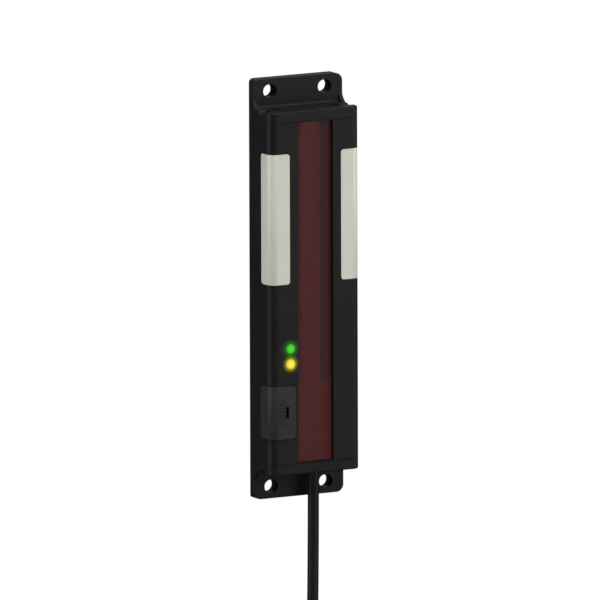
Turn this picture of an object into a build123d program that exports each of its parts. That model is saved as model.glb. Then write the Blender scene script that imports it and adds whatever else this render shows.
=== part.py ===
# Light barrier: a slim black sensor with a tall red window, two wrap-round job lamps,
# two status lights, a mode cover and a short lead that ends in a round four-pin plug.
# Frame: X to the right seen from the front, Y into the wall, Z up. The origin is the
# middle of the four mounting slots, on the back face. The front faces -Y.
from build123d import *
import math
import os

os.makedirs("parts", exist_ok=True)

# Outer body
body_width = 35.0
body_depth = 17.4
body_height = 126.0
corner_radius = 2.8
wall = 1.5

# End caps, each with a mounting tab
cap_skirt = 3.9
cap_gasket = 0.25
gasket_inset = 0.1
seal_bar_width = 1.0
cap_edge_round = 0.5
spigot_depth = 2.4
spigot_wall = 1.2
spigot_clearance = 0.2
tab_thickness = 4.7
tab_length = 9.85
tab_corner_radius = 2.7
tab_root_round = 0.8
gusset_thickness = 1.4
gusset_reach = 2.2
gusset_height = 2.8
gusset_hollow = 0.42
gusset_sink = 1.0
slot_width = 4.6
slot_length = 5.3
slot_inset_x = 6.85
slot_outset_z = 5.65
scallop_radius = 2.9
scallop_sink = 1.3
scallop_inset = 3.3
scallop_from_front = 6.5

# Screws that hold the end caps
screw_inset_x = 6.2
screw_from_front = 7.45
screw_head_radius = 1.6
screw_head_height = 1.3
screw_head_round = 0.5
screw_core_radius = 0.9
screw_length = 8.5
screw_tip_length = 1.0
screw_tip_radius = 0.3
screw_bore_clearance = 0.15
screw_slot_width = 0.5
screw_slot_span = 1.9
screw_slot_depth = 0.6
head_recess_radius = 1.85
head_recess_depth = 1.8
boss_radius = 2.1
boss_length = 8.0
boss_web = 1.2

# Red window and the optics behind it
window_opening = 13.6
window_thickness = 2.0
window_lip = 0.9
window_side_gap = 0.15
window_end_gap = 0.1
channel_wall = 0.8
channel_lip = 0.8
channel_gap = 0.05
lens_strip_width = 7.1
lens_foot_width = 13.0
lens_strip_thickness = 1.2
lens_gap = 0.1
lens_foot_height = 27.1
lens_bulge = 0.6
lens_aperture_radius = 2.3
carrier_width = 13.0
carrier_end_gap = 2.0
beam_count = 8
beam_end_gap = 5.85
beam_bore_radius = 2.5
beam_mouth_depth = 1.5
beam_die_size = 3.2
beam_die_height = 1.0
beam_dome_radius = 1.2

# Circuit boards
board_side_gap = 2.0
board_thickness = 1.6
board_corner = 1.0
board_end_gap = 0.6
board_rail_width = 1.2
board_rail_height = 2.3
board_rail_inset = 1.6

# Job lamps, one on each front corner
lamp_top_gap = 10.55
lamp_height = 45.3
lamp_window_margin = 3.15
lamp_side_reach = 6.8
lamp_corner_radius = 1.1
lamp_flange = 0.8
lamp_flange_thickness = 0.8
lamp_fit_gap = 0.06
lamp_board_width = 6.0
lamp_board_thickness = 1.2
lamp_board_end_gap = 1.4
lamp_board_stand = 2.0
lamp_board_side_gap = 0.8
lamp_led_count = 5
lamp_led_end_gap = 5.85
lamp_led_size = 2.8
lamp_led_height = 1.4
led_well_radius = 1.2
led_well_floor = 0.85
led_well_depth = 0.5
header_length = 8.0
header_width = 2.4
header_end_gap = 9.65

# Mode cover, low on the left front corner, and the switch behind it
cover_bottom_gap = 8.5
cover_height = 18.9
cover_window_margin = 0.7
cover_side_reach = 7.5
cover_corner_radius = 1.9
cover_gap = 0.22
cover_proud = 0.15
cover_leg_length = 5.0
cover_leg_thickness = 0.9
cover_leg_reach = 2.4
pry_slot_inset = 3.7
pry_slot_width = 1.1
pry_slot_height = 4.0
switch_width = 5.6
switch_height = 9.8
switch_depth = 4.6
switch_inset = 3.5
slider_count = 4
slider_pitch = 2.2
slider_size = 1.1
slider_reach = 0.9
slider_clearance = 0.15
slider_track_width = 3.4
slider_track_depth = 0.8

# Status lights
pipe_window_margin = 3.04
pipe_radius = 1.6
pipe_fit_gap = 0.05
pipe_proud = 0.25
pipe_edge_round = 0.22
pipe_stem_radius = 1.0
signal_pipe_gap = 7.3
pipe_pitch = 5.3
status_led_size = 2.0
status_led_height = 1.5
pipe_led_gap = 0.3

# Lead and where it enters
cable_diameter = 3.9
cable_x = 3.8
cable_from_front = 9.1
grommet_wall = 1.3
grommet_flange = 1.0
grommet_flange_thickness = 1.2
connector_width = 8.0
connector_height = 8.0
connector_gap = 2.6
connector_cover = 1.0
lead_drops = [(0, 0, 37.0), (-2.4, -1.5, 92.0), (-2.4, -1.5, 145.0)]

# Round four-pin plug, measured down from the end of the lead
boot_top_radius = 2.9
boot_radius = 4.9
boot_length = 15.0
grip_length = 12.0
grip_groove_count = 5
grip_groove_width = 1.0
grip_groove_depth = 0.5
neck_radius = 4.0
neck_length = 5.6
nut_radius = 7.2
nut_length = 9.6
nut_start_gap = 0.4
nut_bore_clearance = 0.05
nut_flute_count = 18
nut_flute_radius = 0.7
nut_edge_chamfer = 0.4
thread_radius = 5.95
thread_length = 5.8
thread_lead_in = 0.6
cup_radius = 4.9
cup_wall = 0.6
cup_length = 9.6
cup_floor = 2.6
cup_side_clearance = 0.15
cup_back_gap = 0.3
key_radius = 0.5
key_end_gap = 1.0
pin_radius = 0.5
pin_circle_radius = 2.4
pin_length = 7.6
pin_sink = 2.0
pin_tip_chamfer = 0.25

# Places worked out from the sizes above
half_height = body_height / 2
seam_z = half_height - cap_skirt
housing_half = seam_z
slot_spacing_x = body_width - 2 * slot_inset_x
slot_spacing_z = body_height + 2 * slot_outset_z
cap_inner_z = seam_z + cap_gasket
tab_end_z = half_height + tab_length
front_inner_y = -(body_depth - wall)
window_back_y = front_inner_y + window_thickness
channel_inner_x = window_opening / 2 + window_lip + window_side_gap
board_back_y = -(wall + board_rail_height)
board_front_y = board_back_y - board_thickness
spigot_end_z = seam_z - spigot_depth
lens_front_y = window_back_y + lens_gap
carrier_front_y = lens_front_y + lens_strip_thickness
lens_foot_top = lens_foot_height - housing_half
scallop_y = scallop_from_front - body_depth
screw_x = body_width / 2 - screw_inset_x
screw_y = screw_from_front - body_depth
cable_y = cable_from_front - body_depth
board_width = body_width - 2 * (wall + board_side_gap)
board_rail_x = board_width / 2 - board_rail_inset
lamp_bottom_z = housing_half - lamp_top_gap - lamp_height
lamp_middle_z = lamp_bottom_z + lamp_height / 2
lamp_front_x = window_opening / 2 + lamp_window_margin
lamp_side_y = body_depth - lamp_side_reach
lamp_board_x = body_width / 2 - wall - lamp_board_side_gap - lamp_board_width / 2
cover_middle_z = cover_bottom_gap + cover_height / 2 - housing_half
cover_front_x = window_opening / 2 + cover_window_margin
cover_side_y = body_depth - cover_side_reach
pry_slot_x = -(cover_front_x + pry_slot_inset)
switch_x = -(cover_front_x + switch_inset)
pipe_x = -(window_opening / 2 + pipe_window_margin)
signal_pipe_z = cover_middle_z + cover_height / 2 + signal_pipe_gap
ready_pipe_z = signal_pipe_z + pipe_pitch

# How far a cutting shape runs past the face it cuts, and across the whole body
cut_past = 1.0
tool_reach = 60.0
least_corner = 0.2


def block(x0, x1, y0, y1, z0, z1):
    """A box given by its two corners."""
    size = (abs(x1 - x0), abs(y1 - y0), abs(z1 - z0))
    middle = ((x0 + x1) / 2, (y0 + y1) / 2, (z0 + z1) / 2)
    return Pos(*middle) * Box(*size)


def rod(x, y, z0, z1, radius):
    """An upright round bar between two heights."""
    return Pos(x, y, (z0 + z1) / 2) * Cylinder(radius, abs(z1 - z0))


def rod_y(x, z, y0, y1, radius):
    """A round bar that runs front to back."""
    return Pos(x, (y0 + y1) / 2, z) * Rot(90, 0, 0) * Cylinder(radius, abs(y1 - y0))


def plan(inset, z0, z1):
    """The body's rounded outline, drawn in by inset, between two heights."""
    radius = max(corner_radius - inset, least_corner)
    outline = RectangleRounded(body_width - 2 * inset, body_depth - 2 * inset, radius)
    return Pos(0, -body_depth / 2, z0) * extrude(outline, amount=z1 - z0)


def corner_wedge(front_x, side_y, z0, z1, radius):
    """The space of a panel that wraps round the left front corner, with rounded outline."""
    front_shape = RectangleRounded(tool_reach, z1 - z0, radius)
    front_cut = Plane.XZ * extrude(front_shape, amount=tool_reach, both=True)
    front_cut = Pos(-front_x - tool_reach / 2, 0, (z0 + z1) / 2) * front_cut
    side_shape = RectangleRounded(tool_reach, z1 - z0, radius)
    side_cut = Plane.YZ * extrude(side_shape, amount=tool_reach, both=True)
    side_cut = Pos(0, -side_y - tool_reach / 2, (z0 + z1) / 2) * side_cut
    return front_cut & side_cut


def lamp_wedge(grow):
    return corner_wedge(
        lamp_front_x - grow,
        lamp_side_y - grow,
        lamp_bottom_z - grow,
        lamp_bottom_z + lamp_height + grow,
        lamp_corner_radius + max(grow, 0),
    )


def cover_wedge(grow):
    return corner_wedge(
        cover_front_x - grow,
        cover_side_y - grow,
        cover_middle_z - cover_height / 2 - grow,
        cover_middle_z + cover_height / 2 + grow,
        cover_corner_radius + grow,
    )


def to_right(shape):
    """The mirror image on the other side of the body."""
    return mirror(shape, about=Plane.YZ)


def upside_down(shape):
    """The mirror image at the other end of the body."""
    return mirror(shape, about=Plane.XY)


def window_channel(side):
    """The rail that holds one long edge of the window: a side wall and a lip behind it."""
    inner = side * channel_inner_x
    outer = side * (channel_inner_x + channel_wall)
    lip_front = window_back_y + channel_gap
    lip_back = lip_front + channel_lip
    guide = block(inner, outer, front_inner_y, lip_back, -housing_half, housing_half)
    lip_x = side * window_opening / 2
    return guide + block(lip_x, outer, lip_front, lip_back, -housing_half, housing_half)


def screw_boss(side, end):
    """A post in the housing's end for one cap screw, tied to the side wall by a web."""
    x = side * screw_x
    z0 = end * (housing_half - boss_length)
    z1 = end * housing_half
    post = rod(x, screw_y, z0, z1, boss_radius)
    reach = side * (body_width / 2 - wall / 2)
    web = block(x, reach, screw_y - boss_web / 2, screw_y + boss_web / 2, z0, z1)
    bore = rod(x, screw_y, z0, z1, screw_core_radius)
    return (post + web) - bore


def housing():
    shell = plan(0, -housing_half, housing_half) - plan(wall, -housing_half, housing_half)
    opening = window_opening / 2
    shell -= block(-opening, opening, -body_depth - cut_past, front_inner_y, -housing_half, housing_half)
    for side in (-1, 1):
        shell += window_channel(side)
        rail_0 = side * board_rail_x - board_rail_width / 2
        rail_1 = side * board_rail_x + board_rail_width / 2
        shell += block(rail_0, rail_1, -wall / 2, board_back_y, -housing_half, housing_half)
        for end in (-1, 1):
            shell += screw_boss(side, end)
    ring = plan(0, -housing_half, housing_half) - plan(wall, -housing_half, housing_half)
    lamp_hole = ring & lamp_wedge(0)
    shell -= lamp_hole
    shell -= to_right(lamp_hole)
    shell -= ring & cover_wedge(0)
    for z in (ready_pipe_z, signal_pipe_z):
        shell -= rod_y(pipe_x, z, -body_depth - cut_past, front_inner_y, pipe_radius + pipe_fit_gap)
    return shell


def mounting_tab():
    """The flat ear behind the cap, rounded at its corners, with two slots across it."""
    height = tab_end_z - cap_inner_z + corner_radius
    face = RectangleRounded(body_width, height, tab_corner_radius)
    ear = Plane.XZ * extrude(face, amount=tab_thickness)
    ear = Pos(0, 0, tab_end_z - height / 2) * ear
    ear &= plan(0, cap_inner_z, tab_end_z)
    for side in (-1, 1):
        slot = Plane.XZ * extrude(SlotOverall(slot_length, slot_width), amount=tool_reach, both=True)
        ear -= Pos(side * slot_spacing_x / 2, 0, slot_spacing_z / 2) * slot
    return ear


def gusset(side):
    """A small web between tab and cap at one side, hollow-curved on its free edge."""
    y0 = -tab_thickness
    y1 = y0 - gusset_reach
    z0 = half_height
    z1 = z0 + gusset_height
    inner_y = y0 + gusset_sink
    inner_z = z0 - gusset_sink
    middle = (y0 - gusset_reach * gusset_hollow, z0 + gusset_height * gusset_hollow)
    with BuildSketch(Plane.YZ) as web:
        with BuildLine():
            Polyline((y0, z1), (inner_y, z1), (inner_y, inner_z), (y1, inner_z), (y1, z0))
            ThreePointArc((y1, z0), middle, (y0, z1))
        make_face()
    web_solid = extrude(web.sketch, amount=gusset_thickness)
    if side > 0:
        return Pos(body_width / 2 - gusset_thickness, 0, 0) * web_solid
    return Pos(-body_width / 2, 0, 0) * web_solid


def cap_blank():
    """The top end cap without its screw holes: plate, spigot, tab, gussets and scallops."""
    plate = plan(0, cap_inner_z, half_height)
    front_edges = plate.edges().group_by(Axis.Z)[-1].filter_by(
        lambda edge: edge.center().Y < -tab_thickness - corner_radius
    )
    plate = fillet(front_edges, cap_edge_round)
    cap = plate + mounting_tab()
    root = cap.edges().filter_by(Axis.X).filter_by(
        lambda edge: abs(edge.center().Y + tab_thickness) < 0.01
        and abs(edge.center().Z - half_height) < 0.01
    )
    cap = fillet(root, tab_root_round)
    for side in (-1, 1):
        cap += gusset(side)
    half_x = screw_x - boss_radius - spigot_clearance
    y_front = window_back_y + channel_gap + channel_lip + spigot_clearance
    y_back = board_front_y - spigot_clearance
    spigot = block(-half_x, half_x, y_front, y_back, spigot_end_z, cap_inner_z)
    spigot -= block(
        -half_x + spigot_wall,
        half_x - spigot_wall,
        y_front + spigot_wall,
        y_back - spigot_wall,
        spigot_end_z,
        cap_inner_z,
    )
    cap += spigot
    for side in (-1, 1):
        outer = side * (body_width / 2 + cut_past)
        inner = side * (body_width / 2 - scallop_inset)
        scoop = Rot(0, 90, 0) * Cylinder(scallop_radius, abs(outer - inner))
        scoop_z = half_height + scallop_radius - scallop_sink
        cap -= Pos((outer + inner) / 2, scallop_y, scoop_z) * scoop
    return cap


def screw_holes():
    """The clearance holes and head recesses of the two screws in the top cap."""
    cuts = []
    shank_radius = screw_core_radius + screw_bore_clearance
    for side in (-1, 1):
        x = side * screw_x
        shank = rod(x, screw_y, seam_z - cut_past, half_height + cut_past, shank_radius)
        head_z = half_height - head_recess_depth
        cuts.append(shank + rod(x, screw_y, head_z, half_height + cut_past, head_recess_radius))
    return cuts


def top_end_cap():
    cap = cap_blank()
    for cut in screw_holes():
        cap -= cut
    return cap


def bottom_end_cap():
    cap = upside_down(top_end_cap())
    bush_radius = cable_diameter / 2 + grommet_wall
    cap -= rod(cable_x, cable_y, -half_height - cut_past, -spigot_end_z, bush_radius)
    flange_radius = bush_radius + grommet_flange + spigot_clearance
    return cap - rod(cable_x, cable_y, -cap_inner_z, -spigot_end_z, flange_radius)


def cap_seal():
    """The flat seal between the housing's top end and its cap, with a bar across the window."""
    seal = plan(gasket_inset, seam_z, cap_inner_z) - plan(wall, seam_z, cap_inner_z)
    half_x = window_opening / 2
    bar_back = front_inner_y + seal_bar_width
    return seal + block(-half_x, half_x, front_inner_y, bar_back, seam_z, cap_inner_z)


def cap_screws():
    """The two self-tapping screws of the top cap, with a cross recess in each head."""
    screws = []
    head_seat = half_height - head_recess_depth
    head_top = head_seat + screw_head_height
    shank_low = head_seat - screw_length + screw_tip_length
    long = screw_slot_span / 2
    thin = screw_slot_width / 2
    for side in (-1, 1):
        x = side * screw_x
        head = rod(x, screw_y, head_seat, head_top, screw_head_radius)
        head = fillet(head.edges().group_by(Axis.Z)[-1], screw_head_round)
        for dx, dy in ((long, thin), (thin, long)):
            cross = block(-dx, dx, -dy, dy, head_top - screw_slot_depth, head_top + cut_past)
            head -= Pos(x, screw_y, 0) * cross
        shank = rod(x, screw_y, shank_low, head_seat, screw_core_radius)
        tip = Cone(screw_tip_radius, screw_core_radius, screw_tip_length)
        screws.append(head + shank + Pos(x, screw_y, shank_low - screw_tip_length / 2) * tip)
    return screws


def window():
    half_x = window_opening / 2 + window_lip
    half_z = housing_half - window_end_gap
    return block(-half_x, half_x, front_inner_y, window_back_y, -half_z, half_z)


def beam_heights():
    """Evenly spaced heights, from above the lens bar's foot to below the top cap's spigot."""
    lowest = lens_foot_top + beam_end_gap
    pitch = (spigot_end_z - beam_end_gap - lowest) / (beam_count - 1)
    return [lowest + pitch * i for i in range(beam_count)]


def lens_strip():
    """The lens bar behind the window, wider at its foot, with a round lens at each beam."""
    half = lens_strip_width / 2
    bar = block(-half, half, lens_front_y, carrier_front_y, lens_foot_top, spigot_end_z)
    foot = lens_foot_width / 2
    bar += block(-foot, foot, lens_front_y, carrier_front_y, -spigot_end_z, lens_foot_top)
    ball_radius = (lens_aperture_radius**2 + lens_bulge**2) / (2 * lens_bulge)
    for z in beam_heights():
        ball = Pos(0, carrier_front_y + lens_bulge - ball_radius, z) * Sphere(ball_radius)
        aperture = rod_y(0, z, carrier_front_y, carrier_front_y + lens_bulge, lens_aperture_radius)
        bar += ball & aperture
    return bar


def optics_carrier():
    """The black bar between lens bar and board, with a bore that widens to each lens."""
    half = carrier_width / 2
    top = spigot_end_z - carrier_end_gap
    bar = block(-half, half, carrier_front_y, board_front_y, lens_foot_top, top)
    mouth = Rot(90, 0, 0) * Cone(beam_bore_radius, lens_strip_width / 2, beam_mouth_depth)
    for z in beam_heights():
        bar -= rod_y(0, z, carrier_front_y, board_front_y, beam_bore_radius)
        bar -= Pos(0, carrier_front_y + beam_mouth_depth / 2, z) * mouth
    return bar


def beam_diodes(first):
    """Every second beam's diode on the board: the senders or the receivers."""
    parts = []
    half = beam_die_size / 2
    base_y = board_front_y - beam_die_height
    for z in beam_heights()[first::2]:
        die = block(-half, half, base_y, board_front_y, z - half, z + half)
        dome = Pos(0, base_y, z) * Sphere(beam_dome_radius)
        front_half = block(-half, half, base_y - beam_dome_radius, base_y, z - half, z + half)
        parts.append(die + (dome & front_half))
    return parts


def main_board():
    half_x = board_width / 2
    half_z = spigot_end_z - board_end_gap
    board = block(-half_x, half_x, board_front_y, board_back_y, -half_z, half_z)
    corners = board.edges().filter_by(Axis.Y)
    return chamfer(corners, board_corner)


def lamp_lens():
    """The left lamp's milky lens: flush with the body, with a flange inside the wall."""
    z0 = lamp_bottom_z - lamp_flange - cut_past
    z1 = lamp_bottom_z + lamp_height + lamp_flange + cut_past
    deep = wall + lamp_flange_thickness
    skin = (plan(0, z0, z1) - plan(deep, z0, z1)) & lamp_wedge(-lamp_fit_gap)
    flange = (plan(wall, z0, z1) - plan(deep, z0, z1)) & lamp_wedge(lamp_flange)
    return skin + flange


def lamp_board():
    half = lamp_board_width / 2
    back = board_front_y - lamp_board_stand
    front = back - lamp_board_thickness
    z0 = lamp_bottom_z + lamp_board_end_gap
    z1 = lamp_bottom_z + lamp_height - lamp_board_end_gap
    return block(-lamp_board_x - half, -lamp_board_x + half, front, back, z0, z1)


def lamp_leds():
    """The row of white diodes on the left lamp's board, each with a round light well."""
    leds = []
    back = board_front_y - lamp_board_stand - lamp_board_thickness
    front = back - lamp_led_height
    pitch = (lamp_height - 2 * lamp_led_end_gap) / (lamp_led_count - 1)
    half = lamp_led_size / 2
    well = Rot(90, 0, 0) * Cone(led_well_floor, led_well_radius, led_well_depth)
    for i in range(lamp_led_count):
        z = lamp_bottom_z + lamp_led_end_gap + i * pitch
        body = block(-lamp_board_x - half, -lamp_board_x + half, front, back, z - half, z + half)
        leds.append(body - Pos(-lamp_board_x, front + led_well_depth / 2, z) * well)
    return leds


def lamp_headers():
    """Plastic pin headers that stand both lamp boards off the main board."""
    headers = []
    front = board_front_y - lamp_board_stand
    half_x = header_width / 2
    half_z = header_length / 2
    for side in (-1, 1):
        for end in (-1, 1):
            x = side * lamp_board_x
            z = lamp_middle_z + end * (lamp_height / 2 - header_end_gap)
            headers.append(block(x - half_x, x + half_x, front, board_front_y, z - half_z, z + half_z))
    return headers


def mode_cover():
    """The snap-in cover over the mode switch: a wrapped panel with two legs behind it."""
    z0 = cover_middle_z - cover_height / 2 - cut_past
    z1 = cover_middle_z + cover_height / 2 + cut_past
    panel = (plan(-cover_proud, z0, z1) - plan(wall, z0, z1)) & cover_wedge(-cover_gap)
    slot_x0 = pry_slot_x - pry_slot_width / 2
    slot_x1 = pry_slot_x + pry_slot_width / 2
    slot_z0 = cover_middle_z - pry_slot_height / 2
    slot_z1 = cover_middle_z + pry_slot_height / 2
    panel -= block(slot_x0, slot_x1, -body_depth - cut_past, front_inner_y, slot_z0, slot_z1)
    leg_x0 = pry_slot_x - cover_leg_length / 2
    leg_x1 = pry_slot_x + cover_leg_length / 2
    leg_back = front_inner_y + cover_leg_reach
    for end in (-1, 1):
        inner = cover_middle_z + end * (cover_height / 2 - cover_gap - cover_leg_thickness)
        outer = inner + end * cover_leg_thickness
        panel += block(leg_x0, leg_x1, front_inner_y, leg_back, inner, outer)
    return panel


def switch_front():
    return board_front_y - switch_depth


def slider_heights():
    lowest = cover_middle_z - slider_pitch * (slider_count - 1) / 2
    return [lowest + slider_pitch * i for i in range(slider_count)]


def mode_switch():
    """The body of the slide switch bank on the board, with a track for each slider."""
    half_x = switch_width / 2
    half_z = switch_height / 2
    low = cover_middle_z - half_z
    high = cover_middle_z + half_z
    body = block(switch_x - half_x, switch_x + half_x, switch_front(), board_front_y, low, high)
    track_x = slider_track_width / 2
    track_z = slider_size / 2 + slider_clearance
    track_floor = switch_front() + slider_track_depth
    for z in slider_heights():
        body -= block(
            switch_x - track_x,
            switch_x + track_x,
            switch_front() - cut_past,
            track_floor,
            z - track_z,
            z + track_z,
        )
    return body


def mode_slider(z):
    """One slider, at the left end of its track."""
    x0 = switch_x - slider_track_width / 2 + slider_clearance
    half = slider_size / 2
    back = switch_front() + slider_track_depth - slider_clearance
    return block(x0, x0 + slider_size, switch_front() - slider_reach, back, z - half, z + half)


def light_pipe(z):
    """A status light's clear pipe: a domed disc in the front wall and a stem to its diode."""
    front = -body_depth - pipe_proud
    disc = rod_y(pipe_x, z, front, front_inner_y, pipe_radius)
    disc = fillet(disc.edges().group_by(Axis.Y)[0], pipe_edge_round)
    stem_end = board_front_y - status_led_height - pipe_led_gap
    return disc + rod_y(pipe_x, z, front_inner_y, stem_end, pipe_stem_radius)


def status_leds():
    leds = []
    half = status_led_size / 2
    front = board_front_y - status_led_height
    for z in (ready_pipe_z, signal_pipe_z):
        leds.append(block(pipe_x - half, pipe_x + half, front, board_front_y, z - half, z + half))
    return leds


def cable_grommet():
    """The soft bush that seals the lead in the bottom cap."""
    outer = cable_diameter / 2 + grommet_wall
    flange_top = -cap_inner_z + grommet_flange_thickness
    bush = rod(cable_x, cable_y, -half_height, flange_top, outer)
    flange_radius = outer + grommet_flange
    bush += rod(cable_x, cable_y, -cap_inner_z, flange_top, flange_radius)
    bore = rod(cable_x, cable_y, -half_height - cut_past, flange_top + cut_past, cable_diameter / 2)
    return bush - bore


def board_connector():
    """The block on the board that the lead's wires end in."""
    z0 = connector_bottom()
    half = connector_width / 2
    front = cable_y - cable_diameter / 2 - connector_cover
    return block(cable_x - half, cable_x + half, front, board_front_y, z0, z0 + connector_height)


def connector_bottom():
    return -spigot_end_z + connector_gap


def lead_route():
    """The lead's way, from the connector down through the bush and on to the plug."""
    points = [Vector(cable_x, cable_y, connector_bottom())]
    for dx, dy, drop in lead_drops:
        points.append(Vector(cable_x + dx, cable_y + dy, -half_height - drop))
    return points


def bend_radii(points):
    """At each inner point, the largest arc that its two runs allow."""
    radii = []
    for before, here, after in zip(points, points[1:], points[2:]):
        run = min((here - before).length, (after - here).length)
        turn = math.radians((here - before).get_angle(after - here))
        radii.append(0.45 * run / math.tan(turn / 2))
    return radii


def lead():
    points = lead_route()
    radii = bend_radii(points)
    print("lead radii", [round(r) for r in radii])
    path = FilletPolyline(*points, radius=radii)
    start = Plane(path @ 0, z_dir=path % 0)
    tube = sweep(start * Circle(cable_diameter / 2), path=path)
    full_volume = math.pi * cable_diameter**2 / 4 * path.length
    print("lead length", round(path.length, 1), "volume share", round(tube.volume / full_volume, 5))
    return tube


def at_plug(shape):
    """Moves a shape that was made about the Z axis, hanging from zero, to the lead's end."""
    end = lead_route()[-1]
    return Pos(end.X, end.Y, end.Z) * shape


def plug_body():
    """The moulded boot and grip, with the neck that the nut turns on."""
    grip_end = -boot_length - grip_length
    boot = Pos(0, 0, -boot_length / 2) * Cone(boot_radius, boot_top_radius, boot_length)
    grip = rod(0, 0, grip_end, -boot_length, boot_radius)
    body = boot + grip
    pitch = grip_length / (grip_groove_count + 1)
    for i in range(grip_groove_count):
        z0 = -boot_length - pitch * (i + 1) - grip_groove_width / 2
        z1 = z0 + grip_groove_width
        inside = rod(0, 0, z0, z1, boot_radius - grip_groove_depth)
        body -= rod(0, 0, z0, z1, boot_radius + cut_past) - inside
    body += rod(0, 0, grip_end - neck_length, grip_end, neck_radius)
    return at_plug(body)


def cup_back():
    """Height of the contact cup's back, where the neck ends."""
    return -boot_length - grip_length - neck_length


def plug_nut():
    """The knurled ring that turns on the neck, with the outside thread below it."""
    top = -boot_length - grip_length - nut_start_gap
    bottom = top - nut_length
    ring = rod(0, 0, bottom, top, nut_radius)
    ring = chamfer(ring.edges().filter_by(GeomType.CIRCLE), nut_edge_chamfer)
    for i in range(nut_flute_count):
        angle = 2 * math.pi * i / nut_flute_count
        x = nut_radius * math.cos(angle)
        y = nut_radius * math.sin(angle)
        ring -= rod(x, y, bottom - cut_past, top + cut_past, nut_flute_radius)
    low = bottom - thread_length
    thread = rod(0, 0, low, bottom, thread_radius)
    thread = chamfer(thread.edges().group_by(Axis.Z)[0], thread_lead_in)
    nut = ring + thread
    nut -= rod(0, 0, low - cut_past, top + cut_past, neck_radius + nut_bore_clearance)
    step = cup_back() + cup_back_gap
    nut -= rod(0, 0, low - cut_past, step, cup_radius + cup_side_clearance)
    return at_plug(nut)


def plug_insert():
    """The contact cup: a floor that carries the pins, and a thin wall with a key rib."""
    top = cup_back()
    bottom = top - cup_length
    floor = top - cup_floor
    cup = rod(0, 0, bottom, top, cup_radius)
    cup -= rod(0, 0, bottom - cut_past, floor, cup_radius - cup_wall)
    key = rod(0, -(cup_radius - cup_wall), bottom + key_end_gap, floor, key_radius)
    cup += key & rod(0, 0, bottom, top, cup_radius)
    for x, y in pin_places():
        cup -= rod(x, y, floor - cut_past, floor + pin_sink, pin_radius)
    return at_plug(cup)


def pin_places():
    places = []
    for i in range(4):
        angle = math.radians(45 + 90 * i)
        places.append((pin_circle_radius * math.cos(angle), pin_circle_radius * math.sin(angle)))
    return places


def plug_pins():
    floor = cup_back() - cup_floor
    pins = []
    for x, y in pin_places():
        pin = rod(x, y, floor - pin_length, floor + pin_sink, pin_radius)
        pin = chamfer(pin.edges().group_by(Axis.Z)[0], pin_tip_chamfer)
        pins.append(at_plug(pin))
    return pins


def save(name, shape):
    """Writes one node; a list of solids shares the node as a group."""
    if isinstance(shape, list):
        shape = Compound(children=[piece.solid() for piece in shape])
    export_step(shape, "parts/" + name + ".step")


left_lens = lamp_lens()
left_board = lamp_board()
left_leds = lamp_leds()
top_screws = cap_screws()

save("housing", housing())
save("top_end_cap", top_end_cap())
save("bottom_end_cap", bottom_end_cap())
save("top_cap_seal", cap_seal())
save("bottom_cap_seal", upside_down(cap_seal()))
save("top_cap_screws", top_screws)
save("bottom_cap_screws", [upside_down(s) for s in top_screws])
save("window", window())
save("lens_strip", lens_strip())
save("optics_carrier", optics_carrier())
save("beam_senders", beam_diodes(0))
save("beam_receivers", beam_diodes(1))
save("main_board", main_board())
save("left_lamp_lens", left_lens)
save("right_lamp_lens", to_right(left_lens))
save("left_lamp_board", left_board)
save("right_lamp_board", to_right(left_board))
save("left_lamp_leds", left_leds)
save("right_lamp_leds", [to_right(s) for s in left_leds])
save("lamp_headers", lamp_headers())
save("mode_cover", mode_cover())
save("mode_switch", mode_switch())
for number, height in enumerate(slider_heights(), start=1):
    save("mode_slider_" + str(number), mode_slider(height))
save("ready_light_pipe", light_pipe(ready_pipe_z))
save("signal_light_pipe", light_pipe(signal_pipe_z))
save("status_leds", status_leds())
save("cable_grommet", cable_grommet())
save("board_connector", board_connector())
save("lead", lead())
save("plug_body", plug_body())
save("plug_nut", plug_nut())
save("plug_insert", plug_insert())
save("plug_pins", plug_pins())
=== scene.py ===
import bpy
import bmesh
import math
from mathutils import Matrix, Vector


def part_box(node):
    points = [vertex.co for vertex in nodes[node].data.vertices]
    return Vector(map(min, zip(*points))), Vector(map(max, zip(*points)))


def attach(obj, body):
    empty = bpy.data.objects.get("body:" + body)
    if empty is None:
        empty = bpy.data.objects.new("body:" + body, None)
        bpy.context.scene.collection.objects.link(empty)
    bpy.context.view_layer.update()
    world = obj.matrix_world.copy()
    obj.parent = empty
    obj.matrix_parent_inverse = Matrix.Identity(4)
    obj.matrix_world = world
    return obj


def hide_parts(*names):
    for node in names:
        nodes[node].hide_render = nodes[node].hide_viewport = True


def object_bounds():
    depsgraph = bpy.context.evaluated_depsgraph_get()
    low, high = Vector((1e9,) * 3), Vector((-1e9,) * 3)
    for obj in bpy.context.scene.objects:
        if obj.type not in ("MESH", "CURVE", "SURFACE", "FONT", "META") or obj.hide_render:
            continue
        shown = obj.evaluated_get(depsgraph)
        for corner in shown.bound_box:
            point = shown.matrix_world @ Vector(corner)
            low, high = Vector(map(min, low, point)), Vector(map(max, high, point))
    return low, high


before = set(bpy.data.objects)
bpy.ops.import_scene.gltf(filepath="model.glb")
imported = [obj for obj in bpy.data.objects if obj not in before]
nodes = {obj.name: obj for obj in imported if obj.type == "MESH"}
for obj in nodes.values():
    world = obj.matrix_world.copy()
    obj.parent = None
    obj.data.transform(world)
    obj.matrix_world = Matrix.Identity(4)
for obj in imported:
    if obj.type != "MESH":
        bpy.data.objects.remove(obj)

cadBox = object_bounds()
mm = 0.001
print("frame loaded:", len(nodes), "pieces")


def outward(azimuth, elevation):
    # from the part towards these angles in degrees: 0, 0 is straight out of its front
    a, e = math.radians(azimuth), math.radians(elevation)
    return Vector((math.sin(a) * math.cos(e), -math.cos(a) * math.cos(e), math.sin(e)))


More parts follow.
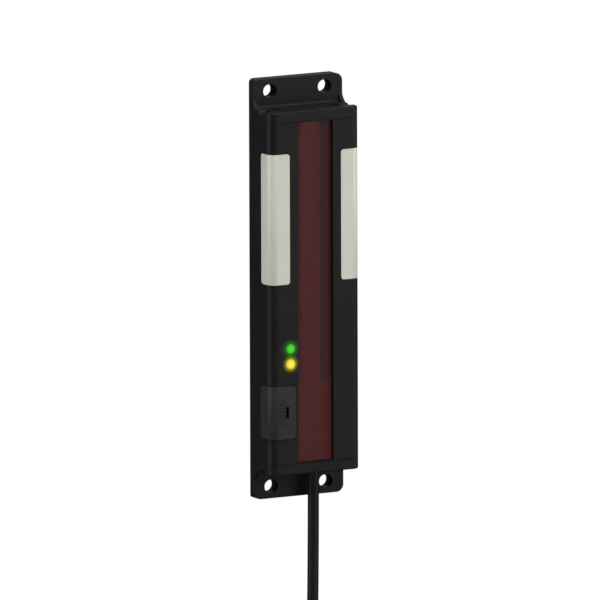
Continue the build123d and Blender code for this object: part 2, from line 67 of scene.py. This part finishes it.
# Where the photograph was taken from, as a long lens far away
photoView = {
    "azimuth": -28.6,
    "elevation": 9.5,
    "roll": 0.0032,             # upright edges lean by this many pixels a pixel
    "frameWidth": 205.8 * mm,   # what the picture's width spans at the part
    "lens": 1600.0,
    "sensor": 36.0,
    "clipEnd": 40.0,
    "aimRight": 2.94 * mm,      # picture centre, from the frame's origin
    "aimUp": -5.38 * mm,
}


def placeCamera(view):
    back = outward(view["azimuth"], view["elevation"])
    a = math.radians(view["azimuth"])
    level = Vector((math.cos(a), math.sin(a), 0))
    upright = back.cross(level)
    right = (level - view["roll"] * upright).normalized()
    up = back.cross(right)
    aim = right * view["aimRight"] + up * view["aimUp"]
    distance = view["frameWidth"] * view["lens"] / view["sensor"]
    camData = bpy.data.cameras.new("photoCamera")
    camData.lens = view["lens"]
    camData.sensor_width = view["sensor"]
    camData.clip_end = view["clipEnd"]
    cam = bpy.data.objects.new("photoCamera", camData)
    bpy.context.scene.collection.objects.link(cam)
    turn = Matrix((right, up, back)).transposed()
    cam.matrix_world = Matrix.Translation(aim + back * distance) @ turn.to_4x4()
    bpy.context.scene.camera = cam


placeCamera(photoView)
print("camera placed")


# Node helpers
def newMaterial(name):
    mat = bpy.data.materials.new(name)
    mat.use_nodes = True
    tree = mat.node_tree
    shader = tree.nodes["Principled BSDF"]
    return mat, tree, shader


def addNode(tree, kind, **settings):
    node = tree.nodes.new(kind)
    for key, value in settings.items():
        setattr(node, key, value)
    return node


def setInputs(node, values):
    for key, value in values.items():
        node.inputs[key].default_value = value


def surfacePoint(tree, stretch=(1, 1, 1)):
    coords = addNode(tree, "ShaderNodeTexCoord")
    mapping = addNode(tree, "ShaderNodeMapping")
    setInputs(mapping, {"Scale": stretch})
    tree.links.new(coords.outputs["Object"], mapping.inputs["Vector"])
    return mapping.outputs["Vector"]


def noiseAt(tree, point, perMeter, detail, roughness=0.5):
    noise = addNode(tree, "ShaderNodeTexNoise")
    setInputs(noise, {"Scale": perMeter, "Detail": detail, "Roughness": roughness})
    tree.links.new(point, noise.inputs["Vector"])
    return noise.outputs["Fac"]


def blendColors(tree, source, lowColor, highColor, low=0.3, high=0.7):
    node = addNode(tree, "ShaderNodeValToRGB")
    first, last = node.color_ramp.elements
    first.position, last.position = low, high
    first.color, last.color = (*lowColor, 1), (*highColor, 1)
    tree.links.new(source, node.inputs["Fac"])
    return node.outputs["Color"]


def spread(tree, source, low, high):
    node = addNode(tree, "ShaderNodeMapRange")
    setInputs(node, {"To Min": low, "To Max": high})
    tree.links.new(source, node.inputs["Value"])
    return node.outputs["Result"]


def bumpFrom(tree, source, depth):
    bump = addNode(tree, "ShaderNodeBump")
    setInputs(bump, {"Strength": 1.0, "Distance": depth})
    tree.links.new(source, bump.inputs["Height"])
    return bump.outputs["Normal"]


def calculate(tree, operation, *values):
    node = addNode(tree, "ShaderNodeMath", operation=operation)
    for socket, value in zip(node.inputs, values):
        if isinstance(value, float):
            socket.default_value = value
        else:
            tree.links.new(value, socket)
    return node.outputs["Value"]


def distanceFrom(tree, middle, weights=(1, 1, 1)):
    coords = addNode(tree, "ShaderNodeTexCoord")
    shift = addNode(tree, "ShaderNodeVectorMath", operation="SUBTRACT")
    shift.inputs[1].default_value = middle
    flat = addNode(tree, "ShaderNodeVectorMath", operation="MULTIPLY")
    flat.inputs[1].default_value = weights
    reach = addNode(tree, "ShaderNodeVectorMath", operation="LENGTH")
    tree.links.new(coords.outputs["Object"], shift.inputs[0])
    tree.links.new(shift.outputs["Vector"], flat.inputs[0])
    tree.links.new(flat.outputs["Vector"], reach.inputs[0])
    return reach.outputs["Value"]


# Every finish by its name, filled in from the looks below
finish = {}

# Moulded plastic and rubber: "dark" to "light" is how far the tone drifts over a piece
moldGrain = {
    "driftPerMeter": 45,
    "driftBand": (0.35, 0.65),
    "grainPerMeter": 5200,    # fine spark-eroded grain of the mould
    "depth": 4e-6,
    "roughSwing": 0.05,
    "specular": 0.12,
}
moldedLooks = {
    "housingBlack": {"dark": (0.0066, 0.0066, 0.0067), "light": (0.0078, 0.0078, 0.0079),
                     "rough": 0.46, "specular": 0.13},
    "capBlack": {"dark": (0.0070, 0.0070, 0.0071), "light": (0.0082, 0.0082, 0.0083),
                 "rough": 0.46, "specular": 0.13},
    "coverGrey": {"dark": (0.0205, 0.0205, 0.0207), "light": (0.0235, 0.0235, 0.0238), "rough": 0.44},
    "sealRubber": {"dark": (0.004, 0.004, 0.004), "light": (0.006, 0.006, 0.006), "rough": 0.75},
    "carrierBlack": {"dark": (0.008, 0.008, 0.008), "light": (0.011, 0.011, 0.011), "rough": 0.6},
    "switchRed": {"dark": (0.20, 0.018, 0.012), "light": (0.26, 0.024, 0.016), "rough": 0.4},
    "sliderWhite": {"dark": (0.66, 0.66, 0.63), "light": (0.74, 0.74, 0.71), "rough": 0.38},
    "ledWhite": {"dark": (0.68, 0.66, 0.58), "light": (0.76, 0.74, 0.66), "rough": 0.35},
    "diodeResin": {"dark": (0.010, 0.004, 0.012), "light": (0.016, 0.006, 0.018), "rough": 0.2},
    "insertPlastic": {"dark": (0.012, 0.012, 0.012), "light": (0.016, 0.016, 0.016), "rough": 0.4},
    "plugBlack": {"dark": (0.010, 0.010, 0.0105), "light": (0.013, 0.013, 0.0135),
                  "rough": 0.55, "depth": 8e-6},
    "leadJacket": {"dark": (0.0085, 0.0085, 0.0087), "light": (0.0105, 0.0105, 0.0108), "rough": 0.42},
    # painted shade: the sign darker than the cover, standing in for the shading of its raised edges
    "signPaintedShade": {"dark": (0.0100, 0.0100, 0.0102), "light": (0.0125, 0.0125, 0.0128), "rough": 0.5},
}


def moldedPlastic(name, look):
    mat, tree, shader = newMaterial(name)
    point = surfacePoint(tree)
    drift = noiseAt(tree, point, look["driftPerMeter"], detail=2)
    grain = noiseAt(tree, point, look["grainPerMeter"], detail=4, roughness=0.6)
    tone = blendColors(tree, drift, look["dark"], look["light"], *look["driftBand"])
    rough = spread(tree, grain, look["rough"] - look["roughSwing"], look["rough"] + look["roughSwing"])
    tree.links.new(tone, shader.inputs["Base Color"])
    tree.links.new(rough, shader.inputs["Roughness"])
    tree.links.new(bumpFrom(tree, grain, look["depth"]), shader.inputs["Normal"])
    setInputs(shader, {"Specular IOR Level": look["specular"]})
    return mat


for name, look in moldedLooks.items():
    finish[name] = moldedPlastic(name, {**moldGrain, **look})

# Bare metal, with streaks drawn out upwards: the smaller "draw" is, the longer they are
metalLooks = {
    "screwSteel": {"dark": (0.30, 0.30, 0.31), "light": (0.42, 0.42, 0.43),
                   "rough": (0.28, 0.42), "draw": 0.2},
    "nutNickel": {"dark": (0.66, 0.65, 0.62), "light": (0.80, 0.79, 0.76),
                  "rough": (0.36, 0.46), "draw": 0.15},
    "pinGold": {"dark": (0.78, 0.55, 0.22), "light": (0.90, 0.66, 0.30),
                "rough": (0.16, 0.26), "draw": 0.2},
}
streaks = {"perMeter": 900, "depth": 3e-6}


def bareMetal(name, look):
    mat, tree, shader = newMaterial(name)
    point = surfacePoint(tree, (1, 1, look["draw"]))
    streak = noiseAt(tree, point, streaks["perMeter"], detail=5, roughness=0.6)
    tree.links.new(blendColors(tree, streak, look["dark"], look["light"]), shader.inputs["Base Color"])
    tree.links.new(spread(tree, streak, *look["rough"]), shader.inputs["Roughness"])
    tree.links.new(bumpFrom(tree, streak, streaks["depth"]), shader.inputs["Normal"])
    setInputs(shader, {"Metallic": 1.0})
    return mat


for name, look in metalLooks.items():
    finish[name] = bareMetal(name, look)

# The red pane: half clear, with matt red fields on its back where the lens bar stops short. The whole
# pane has a painted red glow, stronger in the fields.
paneLow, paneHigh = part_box("window")
paneLook = {
    "dark": (0.018, 0.007, 0.007),
    "light": (0.021, 0.008, 0.008),
    "driftPerMeter": 60,
    "grainPerMeter": 2600,
    "rough": (0.28, 0.34),
    "glow": (0.031, 0.009, 0.010),    # painted red glow over the whole pane
    "cover": 0.5,                     # half clear
    # painted red glow in the matt red fields
    "fieldPaintedGlow": (0.0590, 0.0036, 0.0024),
    "fieldCover": 1.0,
    "fields": [
        {"halfWidth": paneHigh.x, "low": paneLow.z, "high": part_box("optics_carrier")[0].z},
        {"halfWidth": 3.55 * mm, "low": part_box("lens_strip")[1].z, "high": paneHigh.z},
    ],
}


def fieldsBehind(tree, point, fields):
    # 1 on the pane's back face inside a field, 0 elsewhere
    place = addNode(tree, "ShaderNodeSeparateXYZ")
    tree.links.new(point, place.inputs["Vector"])
    x, y, z = place.outputs
    aside = calculate(tree, "ABSOLUTE", x)
    printed = 0.0
    for field in fields:
        within = calculate(tree, "LESS_THAN", aside, field["halfWidth"])
        above = calculate(tree, "GREATER_THAN", z, field["low"])
        below = calculate(tree, "LESS_THAN", z, field["high"])
        here = calculate(tree, "MULTIPLY", within, calculate(tree, "MULTIPLY", above, below))
        printed = calculate(tree, "MAXIMUM", printed, here)
    atBack = calculate(tree, "GREATER_THAN", y, (paneLow.y + paneHigh.y) / 2)
    return calculate(tree, "MULTIPLY", printed, atBack)


def windowRed(name, look):
    mat, tree, shader = newMaterial(name)
    point = surfacePoint(tree)
    drift = noiseAt(tree, point, look["driftPerMeter"], detail=2)
    grain = noiseAt(tree, point, look["grainPerMeter"], detail=2)
    field = fieldsBehind(tree, point, look["fields"])
    # painted glow: emission over the pane, stronger in the fields
    glow = blendColors(tree, field, look["glow"], look["fieldPaintedGlow"], 0.0, 1.0)
    tree.links.new(blendColors(tree, drift, look["dark"], look["light"]), shader.inputs["Base Color"])
    tree.links.new(glow, shader.inputs["Emission Color"])
    tree.links.new(spread(tree, field, look["cover"], look["fieldCover"]), shader.inputs["Alpha"])
    tree.links.new(spread(tree, grain, *look["rough"]), shader.inputs["Roughness"])
    setInputs(shader, {"Emission Strength": 1.0, "Specular IOR Level": 0.15})
    return mat


finish["redAcrylic"] = windowRed("redAcrylic", paneLook)

# The lens bar behind the pane, its tint a little uneven from the flow of the melt
lensLook = {"dark": (0.369, 0.0054, 0.0054), "light": (0.41, 0.006, 0.006), "driftPerMeter": 220}


def lensRed(name, look):
    mat, tree, shader = newMaterial(name)
    drift = noiseAt(tree, surfacePoint(tree), look["driftPerMeter"], detail=2)
    tree.links.new(blendColors(tree, drift, look["dark"], look["light"]), shader.inputs["Base Color"])
    setInputs(shader, {"Roughness": 0.3, "Specular IOR Level": 0.2})
    return mat


finish["lensBar"] = lensRed("lensBar", lensLook)

# Milky lamp covers
lampLook = {
    "dark": (0.500, 0.493, 0.432),
    "light": (0.525, 0.517, 0.453),
    "cloudPerMeter": 130,
    "grainPerMeter": 4200,
    "depth": 2e-6,
    "rough": (0.32, 0.42),
}


def lampMilk(name, look):
    mat, tree, shader = newMaterial(name)
    point = surfacePoint(tree)
    cloud = noiseAt(tree, point, look["cloudPerMeter"], detail=2)
    grain = noiseAt(tree, point, look["grainPerMeter"], detail=3)
    tree.links.new(blendColors(tree, cloud, look["dark"], look["light"]), shader.inputs["Base Color"])
    tree.links.new(spread(tree, grain, *look["rough"]), shader.inputs["Roughness"])
    tree.links.new(bumpFrom(tree, grain, look["depth"]), shader.inputs["Normal"])
    setInputs(shader, {
        "Specular IOR Level": 0.4,
        "Subsurface Weight": 0.25,
        "Subsurface Radius": (0.9, 0.9, 0.8),
        "Subsurface Scale": 1 * mm,
    })
    return mat


finish["milkyLamp"] = lampMilk("milkyLamp", lampLook)

# Circuit boards: green mask, with copper pours showing as a slightly lighter maze
boardLook = {
    "pour": (0.020, 0.105, 0.040),
    "gap": (0.012, 0.070, 0.028),
    "pourEdge": (0.30, 0.34),    # where in a cell the copper stops
    "cellsPerMeter": 420,
}


def printedBoard(name, look):
    mat, tree, shader = newMaterial(name)
    cells = addNode(tree, "ShaderNodeTexVoronoi", distance="MANHATTAN")
    setInputs(cells, {"Scale": look["cellsPerMeter"]})
    tree.links.new(surfacePoint(tree), cells.inputs["Vector"])
    maze = blendColors(tree, cells.outputs["Distance"], look["pour"], look["gap"], *look["pourEdge"])
    tree.links.new(maze, shader.inputs["Base Color"])
    setInputs(shader, {"Roughness": 0.35})
    return mat


finish["boardGreen"] = printedBoard("boardGreen", boardLook)


def frontOf(name):
    low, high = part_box(name)
    return ((low.x + high.x) / 2, low.y, (low.z + high.z) / 2)


# The two lit status lights, and how far the glow painted on the housing round each one reaches
readyLight = {
    "front": frontOf("ready_light_pipe"),
    "radius": 1.6 * mm,
    "core": (0.060, 0.70, 0.015),
    "rim": (0.030, 0.34, 0.008),
    "paintedGlow": (0.0, 0.20, 0.0),
    "paintedGlowReach": 4.4 * mm,
}
signalLight = {
    "front": frontOf("signal_light_pipe"),
    "radius": 1.6 * mm,
    "core": (0.90, 0.79, 0.08),
    "rim": (0.62, 0.55, 0.02),
    "paintedGlow": (0.42, 0.39, 0.0),
    "paintedGlowReach": 3.8 * mm,
}
pipePlan = {
    "coreShare": 0.1,      # full glow out to this share of the radius
    "unlitShare": 0.15,    # how much of the glow's colour the pipe has of its own
    "paintedGlowPower": 3.0,
}


def glowingPipe(name, light):
    # brightest at the centre of the dome, as the diode stands right behind it
    mat, tree, shader = newMaterial(name)
    scaled = addNode(tree, "ShaderNodeMapRange")
    setInputs(scaled, {"From Max": light["radius"]})
    tree.links.new(distanceFrom(tree, light["front"], (1, 0, 1)), scaled.inputs["Value"])
    outwards = scaled.outputs["Result"]
    glow = blendColors(tree, outwards, light["core"], light["rim"], pipePlan["coreShare"], 1.0)
    tree.links.new(glow, shader.inputs["Emission Color"])
    own = [c * pipePlan["unlitShare"] for c in light["core"]]
    setInputs(shader, {
        "Base Color": (*own, 1),
        "Emission Strength": 1.0,
        "Roughness": 0.25,
        "Specular IOR Level": 0.2,
    })
    return mat


def paintedGlowFrom(tree, light):
    # painted glow: emission on the plastic round a lit pipe, less and less with distance
    fade = addNode(tree, "ShaderNodeMapRange")
    setInputs(fade, {
        "From Min": light["radius"],
        "From Max": light["paintedGlowReach"],
        "To Min": 1.0,
        "To Max": 0.0,
    })
    tree.links.new(distanceFrom(tree, light["front"]), fade.inputs["Value"])
    share = calculate(tree, "POWER", fade.outputs["Result"], pipePlan["paintedGlowPower"])
    paintedGlowColor = addNode(tree, "ShaderNodeVectorMath", operation="SCALE")
    paintedGlowColor.inputs[0].default_value = light["paintedGlow"]
    tree.links.new(share, paintedGlowColor.inputs["Scale"])
    return paintedGlowColor.outputs["Vector"]


def paintGlowOnto(mat, lightOne, lightTwo):
    tree = mat.node_tree
    shader = tree.nodes["Principled BSDF"]
    both = addNode(tree, "ShaderNodeVectorMath", operation="ADD")
    tree.links.new(paintedGlowFrom(tree, lightOne), both.inputs[0])
    tree.links.new(paintedGlowFrom(tree, lightTwo), both.inputs[1])
    tree.links.new(both.outputs["Vector"], shader.inputs["Emission Color"])
    setInputs(shader, {"Emission Strength": 1.0})


finish["readyGlow"] = glowingPipe("readyGlow", readyLight)
finish["signalGlow"] = glowingPipe("signalGlow", signalLight)
# the housing carries the status lights' glow as painted emission
paintGlowOnto(finish["housingBlack"], readyLight, signalLight)

# Which pieces wear which finish
wornBy = {
    "housingBlack": ["housing"],
    "capBlack": ["top_end_cap", "bottom_end_cap"],
    "sealRubber": ["top_cap_seal", "bottom_cap_seal", "cable_grommet"],
    "screwSteel": ["top_cap_screws", "bottom_cap_screws"],
    "redAcrylic": ["window"],
    "lensBar": ["lens_strip"],
    "carrierBlack": ["optics_carrier", "lamp_headers", "board_connector"],
    "diodeResin": ["beam_senders", "beam_receivers"],
    "boardGreen": ["main_board", "left_lamp_board", "right_lamp_board"],
    "milkyLamp": ["left_lamp_lens", "right_lamp_lens"],
    "ledWhite": ["left_lamp_leds", "right_lamp_leds", "status_leds"],
    "coverGrey": ["mode_cover"],
    "switchRed": ["mode_switch"],
    "sliderWhite": ["mode_slider_1", "mode_slider_2", "mode_slider_3", "mode_slider_4"],
    "readyGlow": ["ready_light_pipe"],
    "signalGlow": ["signal_light_pipe"],
    "leadJacket": ["lead"],
    "plugBlack": ["plug_body"],
    "nutNickel": ["plug_nut"],
    "insertPlastic": ["plug_insert"],
    "pinGold": ["plug_pins"],
}


def dress(obj, material):
    obj.data.materials.clear()
    obj.data.materials.append(material)


for name, pieces in wornBy.items():
    for piece in pieces:
        dress(nodes[piece], finish[name])
print("finishes laid on", len(nodes), "pieces")

# The lead: its own route in mm, the same as its solid's
leadPlan = {
    "diameter": 3.9 * mm,
    "exit": (3.8 * mm, -8.3 * mm, -63.0 * mm),
    "route": [(3.8, -8.3, -54.1), (3.8, -8.3, -100.0), (1.4, -9.8, -155.0), (1.4, -9.8, -208.0)],
    "length": 154.0 * mm,
    "carries": ["plug_body", "plug_nut", "plug_insert", "plug_pins"],
}


def makeLead(plan):
    curve = bpy.data.curves.new("shortLead", "CURVE")
    curve.dimensions = "3D"
    spline = curve.splines.new("NURBS")
    spline.points.add(len(plan["route"]) - 1)
    for controlPoint, (x, y, z) in zip(spline.points, plan["route"]):
        controlPoint.co = (x * mm, y * mm, z * mm, 1)
    spline.order_u = 3
    spline.use_endpoint_u = True
    spline.resolution_u = 24
    curve.bevel_depth = plan["diameter"] / 2
    curve.bevel_resolution = 10
    curve.use_fill_caps = True
    lead = bpy.data.objects.new("shortLead", curve)
    bpy.context.scene.collection.objects.link(lead)
    dress(lead, finish["leadJacket"])
    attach(lead, "barrier")
    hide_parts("lead")


makeLead(leadPlan)
print("lead laid")


def addMesh(name, bm, material):
    mesh = bpy.data.meshes.new(name)
    bm.to_mesh(mesh)
    bm.free()
    obj = bpy.data.objects.new(name, mesh)
    bpy.context.scene.collection.objects.link(obj)
    dress(obj, material)
    return obj


# Raised sign on the mode cover: one small frame for each switch position, in a darker grey that is
# painted shade along its raised edges
signPlan = {
    "across": -13.15 * mm,    # where the row of frames stands
    "middle": -41.3 * mm,
    "count": 4,
    "pitch": 2.45 * mm,
    "width": 2.3 * mm,
    "height": 1.75 * mm,
    "line": 0.38 * mm,
    "raise": 0.07 * mm,
    "sink": 0.1 * mm,
}


def addBlock(bm, low, high):
    size = [b - a for a, b in zip(low, high)]
    middle = [(a + b) / 2 for a, b in zip(low, high)]
    place = Matrix.Translation(middle) @ Matrix.Diagonal((*size, 1))
    bmesh.ops.create_cube(bm, size=1, matrix=place)


def makeSign(plan):
    bm = bmesh.new()
    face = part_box("mode_cover")[0].y
    near, far = face - plan["raise"], face + plan["sink"]
    halfWidth, line = plan["width"] / 2, plan["line"]
    left, right = plan["across"] - halfWidth, plan["across"] + halfWidth
    for i in range(plan["count"]):
        z = plan["middle"] + (i - (plan["count"] - 1) / 2) * plan["pitch"]
        low, high = z - plan["height"] / 2, z + plan["height"] / 2
        addBlock(bm, (left, near, high - line), (right, far, high))
        addBlock(bm, (left, near, low), (right, far, low + line))
        addBlock(bm, (left, near, low + line), (left + line, far, high - line))
        addBlock(bm, (right - line, near, low + line), (right, far, high - line))
    sign = addMesh("modeSign", bm, finish["signPaintedShade"])
    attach(sign, "barrier")


makeSign(signPlan)
print("sign added")

# Outside thread of the plug's nut: one ridge that winds down over the plain cylinder
threadPlan = {
    "pitch": 1.0 * mm,
    "root": 5.93 * mm,
    "crest": 6.12 * mm,
    "length": 4.6 * mm,
    "endGap": 0.55 * mm,
    "sunkRoot": 0.99,        # the ridge's back lies this share of the root radius out
    "baseShare": 0.46,       # half of the ridge's base, and of its crest, in pitches
    "crestShare": 0.069,
    "stepsPerTurn": 60,
    "fadeTurns": 0.4,
}


def ridgeSection(plan, crest):
    # radius and height of each corner, from the sunk back over the crest and back again
    base, top = plan["pitch"] * plan["baseShare"], plan["pitch"] * plan["crestShare"]
    root = plan["root"]
    sunk = root * plan["sunkRoot"]
    return [(sunk, -base), (root, -base), (crest, -top), (crest, top), (root, base), (sunk, base)]


def makeThread(plan):
    low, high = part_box("plug_nut")
    x, y = (low.x + high.x) / 2, (low.y + high.y) / 2
    turns = plan["length"] / plan["pitch"]
    steps = round(turns * plan["stepsPerTurn"])
    bm = bmesh.new()
    rings = []
    for i in range(steps + 1):
        done = turns * i / steps
        angle = 2 * math.pi * done
        grow = min(1, done / plan["fadeTurns"], (turns - done) / plan["fadeTurns"])
        crest = plan["root"] + (plan["crest"] - plan["root"]) * grow
        z = low.z + plan["endGap"] + done * plan["pitch"]
        rings.append([
            bm.verts.new((x + radius * math.cos(angle), y + radius * math.sin(angle), z + dz))
            for radius, dz in ridgeSection(plan, crest)
        ])
    for one, two in zip(rings, rings[1:]):
        for k in range(len(one)):
            after = (k + 1) % len(one)
            bm.faces.new((one[k], two[k], two[after], one[after]))
    bm.faces.new(rings[0])
    bm.faces.new(rings[-1])
    bmesh.ops.recalc_face_normals(bm, faces=bm.faces)
    thread = addMesh("nutThread", bm, finish["nutNickel"])
    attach(thread, "nut")


makeThread(threadPlan)
print("thread added")

# Small round, in mm, on every hard edge of these moulded pieces
edgeRounds = {"mode_cover": 0.12, "left_lamp_lens": 0.08, "right_lamp_lens": 0.08, "plug_body": 0.12}
edgeStyle = {
    "weldWithin": 1e-6,
    "segments": 2,
    "sharperThan": 35,    # degrees between two faces
}


def softenEdges(obj, width):
    weld = obj.modifiers.new("joinCorners", "WELD")
    weld.merge_threshold = edgeStyle["weldWithin"]
    bevel = obj.modifiers.new("edgeRound", "BEVEL")
    bevel.width = width
    bevel.segments = edgeStyle["segments"]
    bevel.limit_method = "ANGLE"
    bevel.angle_limit = math.radians(edgeStyle["sharperThan"])
    bevel.harden_normals = True
    bevel.use_clamp_overlap = True


for name, width in edgeRounds.items():
    softenEdges(nodes[name], width * mm)
print("edges rounded")

# Soft boxes round the part: where each stands, how wide it is in metres, and its watts
lightPlan = [
    {"name": "leftSoft", "azimuth": -101, "elevation": 8, "size": 0.8, "power": 7.7},
    {"name": "rightFront", "azimuth": 32, "elevation": 3, "size": 0.8, "power": 1.4},
    {"name": "rightSoft", "azimuth": 50, "elevation": 10, "size": 0.8, "power": 5.2},
    {"name": "topSoft", "azimuth": 8, "elevation": 60, "size": 0.8, "power": 7.6},
    {"name": "frontLow", "azimuth": -12, "elevation": 0, "size": 0.4, "power": 0.7},
    {"name": "overhead", "azimuth": 20, "elevation": 84, "size": 0.8, "power": 7.5},
    {"name": "topBack", "azimuth": 150, "elevation": 30, "size": 0.8, "power": 0.8},
    {"name": "backFill", "azimuth": 150, "elevation": -6, "size": 0.16, "power": 5.0},
]
lightTarget = Vector((0, -0.008, -0.02))
lightDistance = 1.1


def makeLight(plan):
    out = outward(plan["azimuth"], plan["elevation"])
    data = bpy.data.lights.new(plan["name"], "AREA")
    data.shape = "SQUARE"
    data.size = plan["size"]
    data.energy = plan["power"]
    light = bpy.data.objects.new(plan["name"], data)
    light.location = lightTarget + out * lightDistance
    light.rotation_mode = "QUATERNION"
    light.rotation_quaternion = (-out).to_track_quat("-Z", "Y")
    light.visible_camera = False
    bpy.context.scene.collection.objects.link(light)


for plan in lightPlan:
    makeLight(plan)

# The backdrop is seen as white, and lights the part only dimly
worldPlan = {"seen": 1.0, "cast": 0.027}


def makeWorld(plan):
    world = bpy.data.worlds.new("paleStudio")
    world.use_nodes = True
    tree = world.node_tree
    backdrop = tree.nodes["Background"]
    ambient = addNode(tree, "ShaderNodeBackground")
    setInputs(backdrop, {"Color": (1, 1, 1, 1), "Strength": plan["seen"]})
    setInputs(ambient, {"Color": (1, 1, 1, 1), "Strength": plan["cast"]})
    path = addNode(tree, "ShaderNodeLightPath")
    mix = addNode(tree, "ShaderNodeMixShader")
    tree.links.new(path.outputs["Is Camera Ray"], mix.inputs["Fac"])
    tree.links.new(ambient.outputs["Background"], mix.inputs[1])
    tree.links.new(backdrop.outputs["Background"], mix.inputs[2])
    tree.links.new(mix.outputs["Shader"], tree.nodes["World Output"].inputs["Surface"])
    bpy.context.scene.world = world


makeWorld(worldPlan)

# Pale floor under the hanging plug
floorPlan = {
    "gap": 14 * mm,
    "radius": 0.8,
    "dark": (0.87, 0.87, 0.87),
    "light": (0.89, 0.89, 0.89),
    "cloudPerMeter": 30,
}


def floorPaper(look):
    mat, tree, shader = newMaterial("floorPaper")
    cloud = noiseAt(tree, surfacePoint(tree), look["cloudPerMeter"], detail=3)
    tree.links.new(blendColors(tree, cloud, look["dark"], look["light"]), shader.inputs["Base Color"])
    setInputs(shader, {"Roughness": 0.9})
    return mat


def makeFloor(plan):
    bm = bmesh.new()
    bmesh.ops.create_circle(bm, cap_ends=True, segments=96, radius=plan["radius"])
    floor = addMesh("paleFloor", bm, floorPaper(plan))
    floor.location = (0, 0, cadBox[0].z - plan["gap"])
    floor.visible_glossy = False      # keeps its sheen off the black sides


makeFloor(floorPlan)
bpy.context.scene.view_settings.view_transform = "Standard"
print("studio ready")
